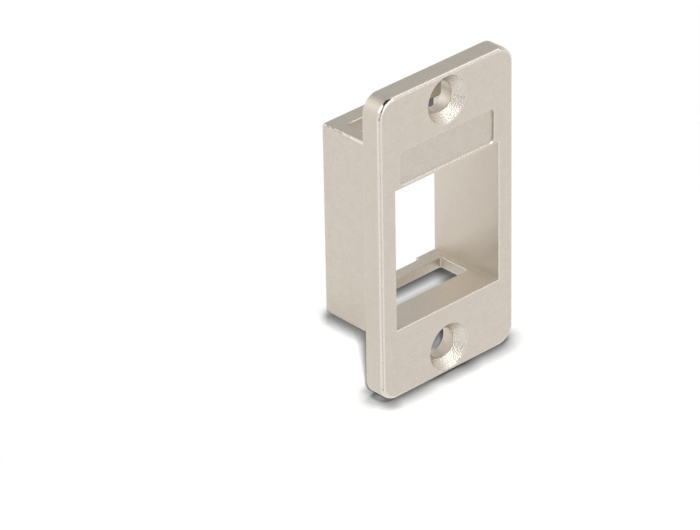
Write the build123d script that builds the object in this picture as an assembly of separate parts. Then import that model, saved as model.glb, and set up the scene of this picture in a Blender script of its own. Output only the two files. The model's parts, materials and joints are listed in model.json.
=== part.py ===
"""Die-cast keystone housing: a screw-on face plate with the seat for one snap-in module behind it.

The frame is +Z up, with the front face towards -Y and +X to the right as seen from the front.
The origin is the middle of the two-screw pattern, on the rear of the face plate, where the plate
seats on whatever carries it. All sizes are in millimetres.
"""
from build123d import *
from math import radians, tan
import os

# Face plate. Its height follows from the screws, which stand one at each end of it.
plate_width = 19.2
plate_beyond_countersink = 0.3
plate_thickness = 2.55
plate_corner_radius = 2.0
plate_front_bevel = 0.24
plate_rear_bevel = 0.1

# Two countersunk screw holes, one above and one below the module
screw_spacing = 29.0
screw_hole_diameter = 3.4
countersink_diameter = 5.4
countersink_angle = 90.0
countersink_rim_depth = 0.08

# Module seat: the front opening, and what the module's two catches need behind it
opening_width = 14.9
opening_height = 16.3
sill_below_screw_middle = 9.5
opening_edge_bevel = 0.08
latch_room = 3.1

# Window through the floor for the module's fixed catch, measured back from the front face
floor_window_width = 13.2
floor_window_start = 3.8
floor_catch_depth = 7.8

# Window through the roof for the module's sprung catch, measured back from the front face
roof_window_width = 13.6
roof_window_start = 3.8
roof_catch_depth = 7.65
window_corner_radius = 0.2

# Walls of the box behind the face plate
box_depth = 7.0
side_wall = 1.05
floor_wall = 1.25
roof_wall = 1.6
box_corner_radius = 0.3
casting_draft = 0.4
root_fillet = 0.25

# Relief in the rear edge of the floor
relief_width = 9.3
relief_depth = 0.42

# Shallow field for a paper label, between the upper screw and the opening
label_width = 13.5
label_height = 3.8
label_depth = 0.2
label_above_opening = 0.4
label_corner_radius = 0.5

# Sizes and levels that follow from the sizes above
plate_height = screw_spacing + countersink_diameter + 2 * plate_beyond_countersink
front_face = -plate_thickness
sill_level = -sill_below_screw_middle
lintel_level = sill_level + opening_height
cavity_ceiling = lintel_level + latch_room
box_bottom = sill_level - floor_wall
box_top = cavity_ceiling + roof_wall
box_width = opening_width + 2 * side_wall
box_height = box_top - box_bottom
box_middle = (box_top + box_bottom) / 2
clear_of_part = 1.0
tolerance = 0.001


def facing_front(y, z=0.0):
    """A sketch plane at depth y, centred at height z, whose normal points out of the front face."""
    return Plane(origin=(0, y, z), x_dir=(1, 0, 0), z_dir=(0, -1, 0))


def face_plate():
    """The flat plate with rounded corners, a bright bevel round its front and an eased rear edge."""
    outline = facing_front(0) * RectangleRounded(plate_width, plate_height, plate_corner_radius)
    plate = extrude(outline, plate_thickness)
    plate = chamfer(plate.faces().sort_by(Axis.Y)[0].outer_wire().edges(), plate_front_bevel)
    return chamfer(plate.faces().sort_by(Axis.Y)[-1].outer_wire().edges(), plate_rear_bevel)


def box():
    """The box behind the plate, drawn in slightly towards its rear, before it is hollowed."""
    outline = facing_front(0, box_middle) * RectangleRounded(box_width, box_height, box_corner_radius)
    return extrude(outline, -box_depth, taper=casting_draft)


def fillet_box_root(body):
    """Round the inside corner where the box grows out of the plate's rear face."""
    root = [
        edge
        for edge in body.edges()
        if abs(edge.center().Y) < tolerance
        and abs(edge.center().X) < box_width / 2 + tolerance
        and box_bottom - tolerance < edge.center().Z < box_top + tolerance
    ]
    return fillet(root, root_fillet)


def module_space():
    """The front opening, and behind the plate the taller room that the sprung catch moves in."""
    opening = facing_front(box_depth + clear_of_part, (sill_level + lintel_level) / 2) * Rectangle(
        opening_width, opening_height
    )
    room = facing_front(box_depth + clear_of_part, (sill_level + cavity_ceiling) / 2) * Rectangle(
        opening_width, opening_height + latch_room
    )
    through = plate_thickness + box_depth + 2 * clear_of_part
    return extrude(opening, through) + extrude(room, box_depth + clear_of_part)


def catch_window(width, start, catch_depth, wall_middle, wall):
    """A window through the floor or the roof, whose rear end is the edge that a catch hooks behind."""
    length = catch_depth - start
    middle = front_face + start + length / 2
    outline = Plane.XY.offset(wall_middle) * Pos(0, middle) * RectangleRounded(
        width, length, window_corner_radius
    )
    return extrude(outline, wall, both=True)


def floor_relief():
    """The wide shallow notch in the rear edge of the floor."""
    outline = Plane.XY.offset(sill_level - floor_wall / 2) * Pos(0, box_depth) * Rectangle(
        relief_width, 2 * relief_depth
    )
    return extrude(outline, floor_wall, both=True)


def label_field():
    """The shallow round-cornered recess for a label."""
    middle = lintel_level + label_above_opening + label_height / 2
    outline = facing_front(front_face + label_depth, middle) * RectangleRounded(
        label_width, label_height, label_corner_radius
    )
    return extrude(outline, clear_of_part)


def countersunk_hole(z):
    """One screw hole: a thin straight rim, the cone for the screw's head, and the clearance bore."""
    rim = countersink_diameter / 2
    bore = screw_hole_diameter / 2
    cone_start = front_face + countersink_rim_depth
    cone_end = cone_start + (rim - bore) / tan(radians(countersink_angle / 2))
    section = make_face(
        Polyline(
            (0, front_face - clear_of_part),
            (rim, front_face - clear_of_part),
            (rim, cone_start),
            (bore, cone_end),
            (bore, clear_of_part),
            (0, clear_of_part),
            close=True,
        )
    )
    return Pos(0, 0, z) * revolve(section, Axis.Y)


def bevel_opening(body):
    """Ease the four front edges of the module's opening."""
    edges = [
        edge
        for edge in body.edges().filter_by(GeomType.LINE)
        if abs(edge.center().Y - front_face) < tolerance
        and abs(edge.center().X) < opening_width / 2 + tolerance
        and sill_level - tolerance < edge.center().Z < lintel_level + tolerance
    ]
    return chamfer(edges, opening_edge_bevel)


def housing():
    """The whole casting."""
    body = fillet_box_root(face_plate() + box())
    body -= module_space()
    body -= catch_window(
        floor_window_width, floor_window_start, floor_catch_depth, sill_level - floor_wall / 2, floor_wall
    )
    body -= catch_window(
        roof_window_width, roof_window_start, roof_catch_depth, cavity_ceiling + roof_wall / 2, roof_wall
    )
    body -= floor_relief()
    body -= label_field()
    for z in (-screw_spacing / 2, screw_spacing / 2):
        body -= countersunk_hole(z)
    return bevel_opening(body)


part = housing()
os.makedirs("parts", exist_ok=True)
export_step(part, "parts/housing.step")
print("housing volume in cubic millimetres:", round(part.volume, 2))
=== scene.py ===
import json
import math
import random
import bmesh
import bpy
from mathutils import Matrix, Vector


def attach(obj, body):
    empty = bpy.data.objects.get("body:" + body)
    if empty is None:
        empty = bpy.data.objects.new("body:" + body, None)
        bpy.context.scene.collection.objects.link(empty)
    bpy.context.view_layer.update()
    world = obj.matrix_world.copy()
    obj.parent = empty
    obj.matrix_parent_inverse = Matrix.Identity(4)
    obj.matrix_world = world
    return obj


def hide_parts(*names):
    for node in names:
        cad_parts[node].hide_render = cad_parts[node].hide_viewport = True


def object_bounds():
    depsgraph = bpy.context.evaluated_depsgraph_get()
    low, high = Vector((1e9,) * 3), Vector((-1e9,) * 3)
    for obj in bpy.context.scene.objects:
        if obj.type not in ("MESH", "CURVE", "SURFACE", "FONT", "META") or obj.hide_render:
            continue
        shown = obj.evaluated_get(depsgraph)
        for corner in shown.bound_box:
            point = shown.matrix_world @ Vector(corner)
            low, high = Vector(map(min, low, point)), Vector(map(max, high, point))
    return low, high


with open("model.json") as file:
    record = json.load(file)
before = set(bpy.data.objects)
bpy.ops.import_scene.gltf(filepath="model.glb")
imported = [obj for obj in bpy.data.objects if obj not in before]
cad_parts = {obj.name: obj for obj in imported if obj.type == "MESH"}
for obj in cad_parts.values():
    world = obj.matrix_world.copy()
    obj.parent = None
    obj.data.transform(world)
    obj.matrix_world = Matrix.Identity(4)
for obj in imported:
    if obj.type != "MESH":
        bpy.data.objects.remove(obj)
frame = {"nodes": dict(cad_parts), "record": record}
cad_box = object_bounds()
MM = 0.001
NODE = "housing"

# The picture, and the camera that took it. All angles are in degrees and all lengths in millimetres.
picture_width = 700
camera_azimuth = -43.53
camera_elevation = 29.44
camera_roll = -1.02
camera_distance = 505.4
focal_length_in_pixels = 5000
camera_target = (-14.01, -2.55, 0.94)
sensor_width = 36.0
nearest_seen = 10.0
farthest_seen = 20000.0

# Sizes of the casting by which its faces are told apart. A face is slanted, or runs front to back, by how
# much of its normal points to the front or the rear.
screw_mount = next(m for m in frame["record"]["mounts"] if m["name"] == "screw_holes")
screw_heights = [side * screw_mount["dims"]["spacing_y_mm"] / 2 for side in (-1, 1)]
countersink_radius = 2.7
bore_radius = 1.7
radius_slack = 0.01
front_level = cad_box[0].y / MM
plate_end = cad_box[1].z / MM
plate_side = cad_box[1].x / MM
bevel_size = 0.24
outline_margin = 1.0
plane_margin = 0.1
seat_half_width = 7.6
seat_half_height = 10.5
slanted_from = 0.5
slanted_to = 0.9
faces_front_from = 0.99
runs_back_below = 0.1

# Points nearer than weld_distance are joined, and faces that turn by less than flat_angle become one.
# Only a face smaller than facet_area, in square millimetres, stands for part of a curve.
weld_distance = 0.0001
flat_angle = 0.3
facet_area = 1.2

# Within these lie the walls of the roof window: x to either side, y from and to, z from and to
roof_window_reach = (6.9, 1.0, 5.2, 9.95, 11.45)

# Within these lies the edge that the sprung catch hooks behind: x to either side, y from and to, z from,
# and its least length
roof_catch_reach = (6.6, 4.5, 5.6, 11.1, 5.0)

# Edges that turn by more than sharp_angle are rounded. The rounding reaches edge_width where they turn by
# more than square_angle, and else rim_width, as round the opening. Round a countersink it reaches
# countersink_width, or a share of the room there. Between the plate's bevel and its front it reaches
# soft_width, but for the bevel's level stretches, where less than level_below of its normal points aside.
# Along the plate's outline it goes from straight_width at the sides to outline_width at the corners.
sharp_angle = 25
square_angle = 60
edge_width = 0.06
rim_width = 0.025
countersink_width = 0.07
countersink_room_share = 0.4
soft_width = 0.11
straight_width = 0.09
outline_width = 0.25
catch_width = 0.14
level_below = 0.01
rounding_segments = 6

# The slope of the label field's lower wall: its size, and how much of the wall's normal points up
label_slope = 0.16
points_up_from = 0.8

# The flash along the box's upper left edge: the corner (x, z, y) past which it lies, how much of its
# faces' normals points left and up at least, the least length of the edges it runs along, in how many
# cuts it goes, how high it stands, where it fades towards the plate, and the start of its random draws
flash_corner = (-8.1, 11.1, 0.4)
flash_lean = 0.05
flash_long = 3.0
flash_cuts = 30
flash_height = 0.11
flash_ends = 1.5
flash_fade = 3.0
flash_seed = 7

# Colours of the plating, as linear light. Each material mottles two of them, and the label field has a
# share of the plate's.
plate_colour = (0.682, 0.627, 0.552, 1)
mottle_colour = (0.608, 0.552, 0.476, 1)
# The edges' two colours are lighter than the plate's: a painted highlight along edges, bevels and the
# flash.
edge_colour = (0.715, 0.664, 0.59, 1)
edge_highlight_colour = (0.79, 0.75, 0.685, 1)
# The inside's colours are lighter than the plate's: painted light on every face that takes them.
inner_colour = (0.725, 0.67, 0.59, 1)
inner_mottle = (0.69, 0.631, 0.548, 1)
# The cones' colours are lighter than the plate's: a painted sheen on the countersinks.
cone_colour = (0.73, 0.687, 0.617, 1)
cone_mottle = (0.67, 0.625, 0.555, 1)
label_share = 0.95

# The mottle mixes two noises, each given by its size and detail. The second is the grain, with
# grain_share of the mix. Within mottle_range a noise goes from the one colour to the other.
mottle_noises = [(1.2, 3.0), (0.12, 1.0)]
mottle_range = (0.38, 0.62)
grain_share = 0.75

# The roughness wavers by sheen_spread to either side, after a noise of its own
sheen_noise = (0.5, 3.0)
sheen_range = (0.3, 0.7)
sheen_spread = 0.04

# How rough the skins are
satin_roughness = 0.42
bright_roughness = 0.18
dull_roughness = 0.45

# Bumps of the skins: the size of their features, the noise's detail, and their height
broad_waves = (2.5, 1.0, 0.008)
satin_grain = (0.28, 2.0, 0.005)
inner_grain = (0.28, 2.0, 0.006)
edge_grain = (0.35, 2.0, 0.015)
cone_waves = (0.6, 1.0, 0.008)
cone_pits = (0.14, 1.0, 0.06)

# The grooves beside the seat's side walls: their spacing, their depth, how far from the middle they start
# and are full, and how they waver. Bands of a wave texture of scale 1 lie band_spacing apart.
groove_spacing = 0.3
groove_depth = 0.02
grooves_from = 6.1
grooves_full = 6.6
groove_waver = 2.0
groove_waver_scale = 400.0
band_spacing = 0.31

# The numbers of the casting's materials, in the order in which it gets them
SATIN, EDGE, CONE, LABEL, INNER = range(5)

# The room as metal sees it: its level at the floor's edge and overhead, and how high the change ends, as
# the upward part of a direction. Then its patches: azimuth, elevation, radius of the full patch, radius
# where it has faded, level. The floor is lit by the room at one plain level.
floor_level = 1.0
sky_level = 0.78
sky_height = 0.45
room_patches = [
    (136, 29, 15, 45, 0.65),
    (-142, 38, 16, 40, 1.05),
    (-105, 42, 17, 28, 1.9),
    (55, 35, 10, 40, 0.82),
    (-3, 36, 28, 42, 1.6),
    (22, 44, 14, 22, 2.0),
    (85, 47, 8, 17, 1.55),
    (0, 90, 25, 31, 0.03),
    (-45, 6, 6, 13, 0.2),
    (-50, 27, 6, 12, 0.04),
    (-47, 42, 5, 10, 0.04),
    (-40, 56, 6, 11, 0.03),
]
room_level_for_floor = 0.17

# The shadow on the floor: where it fades out behind the housing, and at what distance on every side
shadow_fades_from = 14.5
shadow_gone_from = 17.0
floor_fades_from = 60.0
floor_gone_from = 110.0

# The painted contact shadow where floor and housing touch: its width, the shares of open sky that it goes
# between, and how much the floor returns at each
contact_width = 3.5
contact_open = (0.5, 0.93)
contact_tone = (0.11, 0.8)
contact_samples = 16

# Shades that deepen the floor's shadow: x, y, half the length along x, full to and faded from this far
# away, tone. A tone above 1 lightens it.
shades = [
    (3.8, 3.2, 0, 1.5, 4.5, 0.3),
    (0.5, -2.5, 1.2, 0.2, 2.9, 0.44),
    (10.8, 14.2, 4.2, 0.3, 2.6, 0.48),
    (11.0, 12.4, 4.0, 1.5, 4.0, 0.76),
    (10.5, 11.2, 4.5, 0.2, 0.9, 0.75),
    (-8.5, 0.4, 0, 0.3, 1.4, 0.75),
    (-9.1, -1.25, 0, 0.2, 1.1, 1.6),
    (-9.0, -3.05, 0, 0.2, 1.7, 0.6),
    (41.6, 42.1, 0, 1.0, 2.3, 0.14),
]

# Painted shade that only reflections see on the floor: the warm painted shade under the box, given as the
# shades above are, and a painted dark strip that runs out from the front left corner, which darkens the
# reflection in the plate's left bevel: its start, its direction, full and faded within these angles to its
# side, its level
mirrored_shades = [(-7.0, 12.3, 6.0, 1.5, 4.0, 0.0)]
warm_shade = (0.32, 0.25, 0.16, 1)
strip_start = (-9.6, -2.6)
strip_azimuth = -46.5
strip_full = 3.0
strip_faded = 9.0
strip_level = 0.74

# The floor, and its lamp: its turn and rise from the camera, its distance, the angles that half its width
# and half its height span as seen from the housing, and its power in watts
floor_radius = 3000.0
floor_sides = 64
floor_light_turn = 2.5
floor_light_rise = 4.5
floor_light_distance = 2000.0
floor_light_half_width = 2.5
floor_light_half_height = 4.2
floor_light_power = 80.0


def along(azimuth, elevation):
    """The unit vector that points back from the origin to a viewer at that azimuth and elevation."""
    a, e = math.radians(azimuth), math.radians(elevation)
    return Vector((math.sin(a) * math.cos(e), -math.cos(a) * math.cos(e), math.sin(e)))


def link(obj):
    """Puts an object in the scene."""
    bpy.context.scene.collection.objects.link(obj)
    return obj


def add(tree, kind, inputs, **settings):
    """A new shader node. Each input is a value, or another node's output, which is then joined to it."""
    node = tree.nodes.new(kind)
    for name, value in settings.items():
        setattr(node, name, value)
    for name, value in inputs.items():
        if isinstance(value, bpy.types.NodeSocket):
            tree.links.new(value, node.inputs[name])
        else:
            node.inputs[name].default_value = value
    return node


def ramp(tree, value, starts, ends=(0.0, 1.0), **settings):
    """The output that goes from one end to the other as a value goes from the first start to the second."""
    names = ("From Min", "From Max", "To Min", "To Max")
    inputs = dict(zip(names, (*starts, *ends)), Value=value)
    return add(tree, "ShaderNodeMapRange", inputs, **settings).outputs[0]


def soft_ramp(tree, value, starts, ends=(0.0, 1.0)):
    """A ramp that starts and ends gently."""
    return ramp(tree, value, starts, ends, interpolation_type="SMOOTHSTEP")


def calculate(tree, operation, *values):
    """The output of a sum on numbers."""
    return add(tree, "ShaderNodeMath", dict(enumerate(values)), operation=operation).outputs[0]


def calculate_vector(tree, operation, *values):
    """The node of a sum on vectors."""
    return add(tree, "ShaderNodeVectorMath", dict(enumerate(values)), operation=operation)


def mix_values(tree, share, first, second):
    """The output that goes from one number to another as share goes from 0 to 1."""
    return add(tree, "ShaderNodeMix", {0: share, 2: first, 3: second}).outputs[0]


def mix_colours(tree, share, first, second):
    """The output that goes from one colour to another as share goes from 0 to 1."""
    return add(tree, "ShaderNodeMix", {0: share, 6: first, 7: second}, data_type="RGBA").outputs[2]


def make_camera():
    """The photograph's camera: a long lens, turned a little about its own axis."""
    back = along(camera_azimuth, camera_elevation)
    level_right = Vector((0, 0, 1)).cross(back).normalized()
    level_up = back.cross(level_right)
    roll = math.radians(camera_roll)
    right = math.cos(roll) * level_right + math.sin(roll) * level_up
    up = math.cos(roll) * level_up - math.sin(roll) * level_right
    data = bpy.data.cameras.new("camera")
    data.sensor_width = sensor_width
    data.lens = focal_length_in_pixels * sensor_width / picture_width
    data.clip_start = nearest_seen * MM
    data.clip_end = farthest_seen * MM
    camera = link(bpy.data.objects.new("camera", data))
    place = (Vector(camera_target) + camera_distance * back) * MM
    camera.matrix_world = Matrix.Translation(place) @ Matrix((right, up, back)).transposed().to_4x4()
    bpy.context.scene.camera = camera


def middle_of(face):
    """The middle of a face, in millimetres."""
    return face.calc_center_median() / MM


def runs_back(face):
    """Whether a face runs front to back."""
    return abs(face.normal.y) < runs_back_below


def is_slanted(face):
    """Whether a face lies aslant between the front and the sides, as cones and bevels do."""
    return slanted_from < abs(face.normal.y) < slanted_to


def within_radius(face, radius):
    """Whether a face's middle is that near to the axis of a screw hole."""
    middle = middle_of(face)
    return min(math.hypot(middle.x, middle.z - z) for z in screw_heights) < radius


def in_countersink(face):
    """Whether a face of the casting is part of the cone of a countersink."""
    return within_radius(face, countersink_radius) and is_slanted(face)


def in_rim(face):
    """Whether a face is the thin straight rim of a countersink."""
    return within_radius(face, countersink_radius + radius_slack) and runs_back(face)


def in_bore(face):
    """Whether a face is part of a screw hole's straight bore."""
    return within_radius(face, bore_radius + radius_slack) and runs_back(face)


def in_roof_window(face):
    """Whether a face is a wall of the window through the roof."""
    middle = middle_of(face)
    half_width, front, rear, bottom, top = roof_window_reach
    return abs(middle.x) < half_width and front < middle.y < rear and bottom < middle.z < top


def on_front_bevel(face):
    """Whether a face is the bevel round the front of the plate or the opening, or a countersink's cone."""
    return face.normal.y < 0 and is_slanted(face)


def on_plate_outline(face):
    """Whether a face lies along the plate's outline."""
    middle = middle_of(face)
    return abs(middle.x) > plate_side - outline_margin or abs(middle.z) > plate_end - outline_margin


def in_flash(face):
    """Whether a face is part of the curve along the upper left edge of the box."""
    middle = middle_of(face)
    in_corner = middle.x < flash_corner[0] and middle.z > flash_corner[1] and middle.y > flash_corner[2]
    return in_corner and face.normal.x < -flash_lean and face.normal.z > flash_lean


def is_roof_catch(edge):
    """Whether an edge is the upper one that the sprung catch hooks behind."""
    middle = (edge.verts[0].co + edge.verts[1].co) / 2 / MM
    half_width, front, rear, bottom, least_length = roof_catch_reach
    inside = abs(middle.x) < half_width and front < middle.y < rear and middle.z > bottom
    return inside and edge.calc_length() > least_length * MM


def is_facet(face):
    """Whether a face is one of the narrow flats that stand for a curved surface."""
    turns = [math.degrees(edge.calc_face_angle(90)) for edge in face.edges]
    return face.calc_area() < facet_area * MM * MM and min(turns) < sharp_angle


def countersink_rounding(edge):
    """How far the rounding of a countersink's edge reaches: less where the plate's end is near."""
    height = abs(edge.verts[0].co.z + edge.verts[1].co.z) / 2 / MM
    room = plate_end - height - bevel_size
    return min(countersink_width, max(rim_width, countersink_room_share * room))


def bevel_rounding(edge):
    """How far the rounding beside a front bevel reaches: least at the opening, most at the corners."""
    side = min(edge.link_faces, key=lambda face: abs(face.normal.y))
    if not on_plate_outline(side):
        return rim_width
    if not runs_back(side):
        return soft_width if abs(side.normal.x) > level_below else rim_width
    turned = 2 * abs(side.normal.x * side.normal.z)
    return straight_width + (outline_width - straight_width) * turned


def rounding_width(edge):
    """How far an edge's rounding reaches into the two faces beside it, in millimetres."""
    angle = math.degrees(edge.calc_face_angle(0))
    if angle < sharp_angle or not edge.is_convex or any(in_flash(face) for face in edge.link_faces):
        return 0
    if is_roof_catch(edge):
        return catch_width
    if any(in_countersink(face) or in_rim(face) for face in edge.link_faces):
        return countersink_rounding(edge)
    if any(on_front_bevel(face) for face in edge.link_faces):
        return bevel_rounding(edge)
    return edge_width if angle > square_angle else rim_width


def raise_flash(bm):
    """Leaves an uneven line of flash along the upper left edge of the box."""
    faces = [face for face in bm.faces if in_flash(face)]
    long_edges = {
        edge for face in faces for edge in face.edges if edge.calc_length() > flash_long * MM
    }
    bmesh.ops.subdivide_edges(bm, edges=list(long_edges), cuts=flash_cuts, use_grid_fill=True)
    chance = random.Random(flash_seed)
    for vert in bm.verts:
        if len(vert.link_faces) > 2 and all(in_flash(face) for face in vert.link_faces):
            fade = min(1, max(0, (vert.co.y / MM - flash_ends) / flash_fade))
            vert.co += Vector((-1, 0, 1)) * chance.random() ** 2 * fade * flash_height * MM


def slope_label_edge(bm):
    """Slopes the lower wall of the label field, which catches the light as a thin line."""
    edges = []
    for edge in bm.edges:
        wall, front = sorted(edge.link_faces, key=lambda face: abs(face.normal.y))
        in_front = front.normal.y < -faces_front_from and middle_of(front).y < front_level + plane_margin
        if in_front and wall.normal.z > points_up_from and runs_back(wall) and not in_rim(wall):
            edges.append(edge)
    bmesh.ops.bevel(
        bm, geom=edges, offset=label_slope * MM, segments=1, affect="EDGES", clamp_overlap=False
    )


def skin_of(face):
    """The number of the material that a face has."""
    middle = middle_of(face)
    if in_countersink(face):
        return CONE
    # Bevels and the flash take the edge material, whose lighter colour is a painted highlight.
    if on_front_bevel(face) or in_flash(face):
        return EDGE
    # The bores and the roof window's walls take the inner material, whose lighter colour is painted light.
    if in_bore(face) or in_roof_window(face):
        return INNER
    if face.normal.y < -slanted_to and front_level + plane_margin < middle.y < -plane_margin:
        return LABEL
    faces_in = face.normal.x * middle.x + face.normal.z * middle.z < 0
    in_seat = abs(middle.x) < seat_half_width and abs(middle.z) < seat_half_height
    return INNER if runs_back(face) and faces_in and in_seat else SATIN


def casting_mesh(node):
    """The CAD node's mesh with the flash and the label's slope, ready for the rounding of its edges."""
    bm = bmesh.new()
    bm.from_mesh(node.data)
    bmesh.ops.remove_doubles(bm, verts=bm.verts, dist=weld_distance * MM)
    bmesh.ops.dissolve_limit(bm, angle_limit=math.radians(flat_angle), verts=bm.verts, edges=bm.edges)
    raise_flash(bm)
    slope_label_edge(bm)
    weight = bm.edges.layers.float.new("bevel_weight_edge")
    for edge in bm.edges:
        edge[weight] = rounding_width(edge) / outline_width
        edge.smooth = math.degrees(edge.calc_face_angle(0)) < sharp_angle
    for face in bm.faces:
        face.smooth = is_facet(face)
        face.material_index = skin_of(face)
    mesh = bpy.data.meshes.new("casting")
    bm.to_mesh(mesh)
    bm.free()
    return mesh


def rounded_casting(node):
    """A copy of the CAD node with every sharp edge rounded, as plating leaves it."""
    mesh = casting_mesh(node)
    casting = link(bpy.data.objects.new("casting", mesh))
    rounding = casting.modifiers.new("rounding", "BEVEL")
    rounding.limit_method = "WEIGHT"
    rounding.width = outline_width * MM
    rounding.segments = rounding_segments
    rounding.use_clamp_overlap = False
    # The roundings take the edge material, whose lighter colour is a painted highlight.
    rounding.material = EDGE
    for material in (satin_nickel(), edge_nickel(), countersink_nickel(), label_nickel(), inner_nickel()):
        mesh.materials.append(material)
    return casting


def noise(tree, place, size, detail):
    """Noise with features of about that size in millimetres."""
    inputs = {"Vector": place, "Scale": 1 / (size * MM), "Detail": detail}
    return add(tree, "ShaderNodeTexNoise", inputs).outputs["Fac"]


def bumps(tree, layers):
    """Bumps laid one on another. A layer is a height output, and how high it stands in millimetres."""
    normal = None
    for height, tall in layers:
        inputs = {"Height": height, "Distance": tall * MM, "Strength": 1.0}
        if normal is not None:
            inputs["Normal"] = normal
        normal = add(tree, "ShaderNodeBump", inputs).outputs["Normal"]
    return normal


def wall_grooves(tree, place):
    """The height of the fine grooves that run front to back beside the seat's side walls."""
    inputs = {
        "Vector": place,
        "Scale": band_spacing / (groove_spacing * MM),
        "Distortion": groove_waver,
        "Detail Scale": groove_waver_scale,
    }
    waves = add(tree, "ShaderNodeTexWave", inputs, bands_direction="X").outputs["Fac"]
    across = add(tree, "ShaderNodeSeparateXYZ", {0: place}).outputs["X"]
    aside = calculate(tree, "ABSOLUTE", across)
    beside_wall = ramp(tree, aside, (grooves_from * MM, grooves_full * MM))
    return calculate(tree, "MULTIPLY", waves, beside_wall)


def plated(name, colour, other_colour, roughness, layers, grooves=0):
    """A nickel-plated surface: a mottled colour, a roughness, and bumps of several sizes and heights."""
    material = bpy.data.materials.new(name)
    material.use_nodes = True
    tree = material.node_tree
    place = add(tree, "ShaderNodeTexCoord", {}).outputs["Object"]
    shader = tree.nodes["Principled BSDF"]
    shader.inputs["Metallic"].default_value = 1.0
    shares = [ramp(tree, noise(tree, place, *mottle_noise), mottle_range) for mottle_noise in mottle_noises]
    mottle = mix_values(tree, grain_share, *shares)
    tree.links.new(mix_colours(tree, mottle, colour, other_colour), shader.inputs["Base Color"])
    limits = (roughness - sheen_spread, roughness + sheen_spread)
    sheen = ramp(tree, noise(tree, place, *sheen_noise), sheen_range, limits)
    tree.links.new(sheen, shader.inputs["Roughness"])
    heights = [(noise(tree, place, size, detail), tall) for size, detail, tall in layers]
    if grooves:
        heights.append((wall_grooves(tree, place), grooves))
    tree.links.new(bumps(tree, heights), shader.inputs["Normal"])
    return material


def satin_nickel():
    """The broad faces: a satin skin with the casting's fine grain under it."""
    return plated("satin nickel", plate_colour, mottle_colour, satin_roughness, [broad_waves, satin_grain])


def edge_nickel():
    """Edges and bevels: smoother than the faces, and painted lighter in colour, as a painted highlight
    along them.
    """
    return plated("edge nickel", edge_colour, edge_highlight_colour, bright_roughness, [edge_grain])


def countersink_nickel():
    """The cones of the countersinks, where the skin is coarse and pitted, with a painted sheen in their
    lighter colour.
    """
    return plated("countersink nickel", cone_colour, cone_mottle, bright_roughness, [cone_waves, cone_pits])


def label_nickel():
    """The label field, a little duller than the face round it."""
    dull, duller = (
        tuple(label_share * c for c in colour[:3]) + (1,) for colour in (plate_colour, mottle_colour)
    )
    return plated("label nickel", dull, duller, dull_roughness, [broad_waves, satin_grain])


def inner_nickel():
    """The inside of the module's seat, which is rougher than the outside, with grooves beside its walls,
    and painted lighter, as painted light.
    """
    layers = [broad_waves, inner_grain]
    return plated("inner nickel", inner_colour, inner_mottle, dull_roughness, layers, groove_depth)


def nearness(tree, direction, azimuth, elevation):
    """How near a direction is to another one, as the cosine of the angle between them."""
    return calculate_vector(tree, "DOT_PRODUCT", direction, along(azimuth, elevation)).outputs["Value"]


def cosines(first, second):
    """The cosines of two angles."""
    return math.cos(math.radians(first)), math.cos(math.radians(second))


def room_level(tree, direction):
    """How bright the room is in a direction: white at the floor's edge, softer overhead, with patches."""
    height = add(tree, "ShaderNodeSeparateXYZ", {0: direction}).outputs["Z"]
    level = soft_ramp(tree, height, (0.0, sky_height), (floor_level, sky_level))
    for azimuth, elevation, full, faded, patch_level in room_patches:
        near = nearness(tree, direction, azimuth, elevation)
        level = mix_values(tree, soft_ramp(tree, near, cosines(faded, full)), level, patch_level)
    return level


def make_world():
    """A soft white room: plain white to the camera, shaded to what reflects it, and dim to the floor."""
    world = bpy.data.worlds.new("studio")
    bpy.context.scene.world = world
    world.use_nodes = True
    tree = world.node_tree
    direction = add(tree, "ShaderNodeTexCoord", {}).outputs["Generated"]
    path = add(tree, "ShaderNodeLightPath", {}).outputs
    level = mix_values(tree, path["Is Diffuse Ray"], room_level(tree, direction), room_level_for_floor)
    level = mix_values(tree, path["Is Camera Ray"], level, 1.0)
    tree.links.new(level, tree.nodes["Background"].inputs["Strength"])
    tree.nodes["Background"].inputs["Color"].default_value = (1, 1, 1, 1)


def shade_tone(tree, place, spots):
    """How much of the floor's white is left at a place by the deeper shades."""
    tone = 1.0
    for x, y, half_length, full, faded, level in spots:
        offset = calculate_vector(tree, "SUBTRACT", place, (x * MM, y * MM, 0)).outputs[0]
        size = calculate_vector(tree, "ABSOLUTE", offset).outputs[0]
        past_end = calculate_vector(tree, "SUBTRACT", size, (half_length * MM, 0, 0)).outputs[0]
        clear = calculate_vector(tree, "MAXIMUM", past_end, (0, 0, 0)).outputs[0]
        away = calculate_vector(tree, "LENGTH", clear).outputs["Value"]
        one = soft_ramp(tree, away, (full * MM, faded * MM), (level, 1.0))
        tone = calculate(tree, "MULTIPLY", one, tone)
    return tone


def shadow_faded(tree, place):
    """How far the floor's shadow has faded into white at a place: nought near the housing, one beyond."""
    behind = add(tree, "ShaderNodeSeparateXYZ", {0: place}).outputs["Y"]
    distance = calculate_vector(tree, "LENGTH", place).outputs["Value"]
    behind_share = soft_ramp(tree, behind, (shadow_fades_from * MM, shadow_gone_from * MM))
    distance_share = soft_ramp(tree, distance, (floor_fades_from * MM, floor_gone_from * MM))
    return calculate(tree, "MAXIMUM", behind_share, distance_share)


def strip_tone(tree, place):
    """How bright reflections see the floor at a place: darker along the strip, a painted dark reflection.
    """
    start = (strip_start[0] * MM, strip_start[1] * MM, 0)
    offset = calculate_vector(tree, "SUBTRACT", place, start).outputs[0]
    way = calculate_vector(tree, "NORMALIZE", offset).outputs[0]
    near = nearness(tree, way, strip_azimuth, 0)
    return soft_ramp(tree, near, cosines(strip_faded, strip_full), (floor_level, strip_level))


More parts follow.
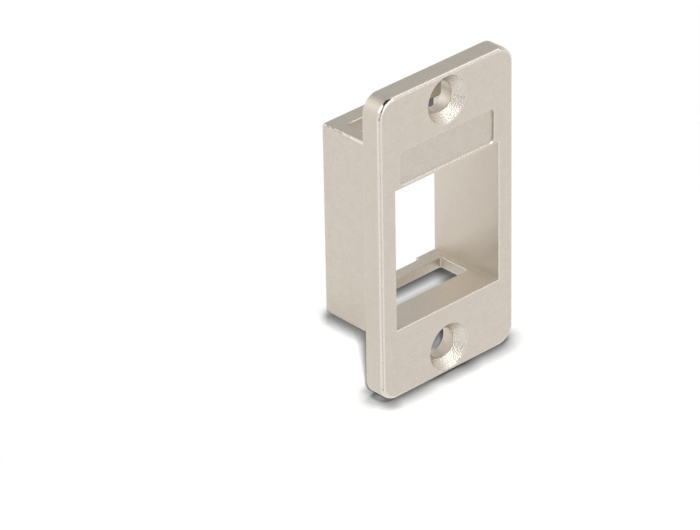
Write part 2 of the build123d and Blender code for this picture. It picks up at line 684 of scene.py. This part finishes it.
def floor_material():
    """White, with the housing's shadow, a painted contact shadow and painted shades, and a plainer look
    with painted shade in reflections.
    """
    material = bpy.data.materials.new("white floor")
    material.use_nodes = True
    tree = material.node_tree
    tree.nodes.remove(tree.nodes["Principled BSDF"])
    place = add(tree, "ShaderNodeTexCoord", {}).outputs["Object"]
    tone = shade_tone(tree, place, shades)
    occlusion = add(
        tree, "ShaderNodeAmbientOcclusion", {"Distance": contact_width * MM}, samples=contact_samples
    )
    # The contact shadow is painted into the floor's colour from how much open sky each place sees.
    contact = ramp(tree, occlusion.outputs["AO"], contact_open, contact_tone)
    colour = calculate(tree, "MULTIPLY", contact, tone)
    lit = add(tree, "ShaderNodeBsdfDiffuse", {"Color": colour}).outputs[0]
    far = add(tree, "ShaderNodeEmission", {"Color": tone}).outputs[0]
    seen = add(tree, "ShaderNodeMixShader", {0: shadow_faded(tree, place), 1: lit, 2: far}).outputs[0]
    # Reflections see the floor with painted shade: the warm shade under the box and the dark strip.
    mirrored = mix_colours(tree, shade_tone(tree, place, mirrored_shades), warm_shade, (1, 1, 1, 1))
    glow = {"Color": mirrored, "Strength": strip_tone(tree, place)}
    white = add(tree, "ShaderNodeEmission", glow).outputs[0]
    glossy = add(tree, "ShaderNodeLightPath", {}).outputs["Is Glossy Ray"]
    surface = add(tree, "ShaderNodeMixShader", {0: glossy, 1: seen, 2: white}).outputs[0]
    tree.links.new(surface, tree.nodes["Material Output"].inputs["Surface"])
    return material


def make_floor(level):
    """The white floor that the housing stands on."""
    bm = bmesh.new()
    bmesh.ops.create_circle(bm, cap_ends=True, segments=floor_sides, radius=floor_radius * MM)
    mesh = bpy.data.meshes.new("floor")
    bm.to_mesh(mesh)
    bm.free()
    mesh.materials.append(floor_material())
    floor = link(bpy.data.objects.new("floor", mesh))
    floor.location.z = level
    return floor


def light_floor(floor):
    """A panel just above the camera, for the floor alone, so that the housing's shadow falls behind it."""
    data = bpy.data.lights.new("floor light", "AREA")
    data.shape = "RECTANGLE"
    distance = floor_light_distance * MM
    data.size = 2 * distance * math.tan(math.radians(floor_light_half_width))
    data.size_y = 2 * distance * math.tan(math.radians(floor_light_half_height))
    data.energy = floor_light_power
    lamp = link(bpy.data.objects.new("floor light", data))
    towards = along(camera_azimuth + floor_light_turn, camera_elevation + floor_light_rise)
    lamp.location = towards * distance
    lamp.rotation_mode = "QUATERNION"
    lamp.rotation_quaternion = towards.to_track_quat("Z", "Y")
    lit = bpy.data.collections.new("lit by floor light")
    lit.objects.link(floor)
    lamp.light_linking.receiver_collection = lit


casting = rounded_casting(frame["nodes"][NODE])
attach(casting, "root")
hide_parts(NODE)

make_camera()
make_world()
light_floor(make_floor(cad_box[0].z))
bpy.context.scene.view_settings.view_transform = "Standard"
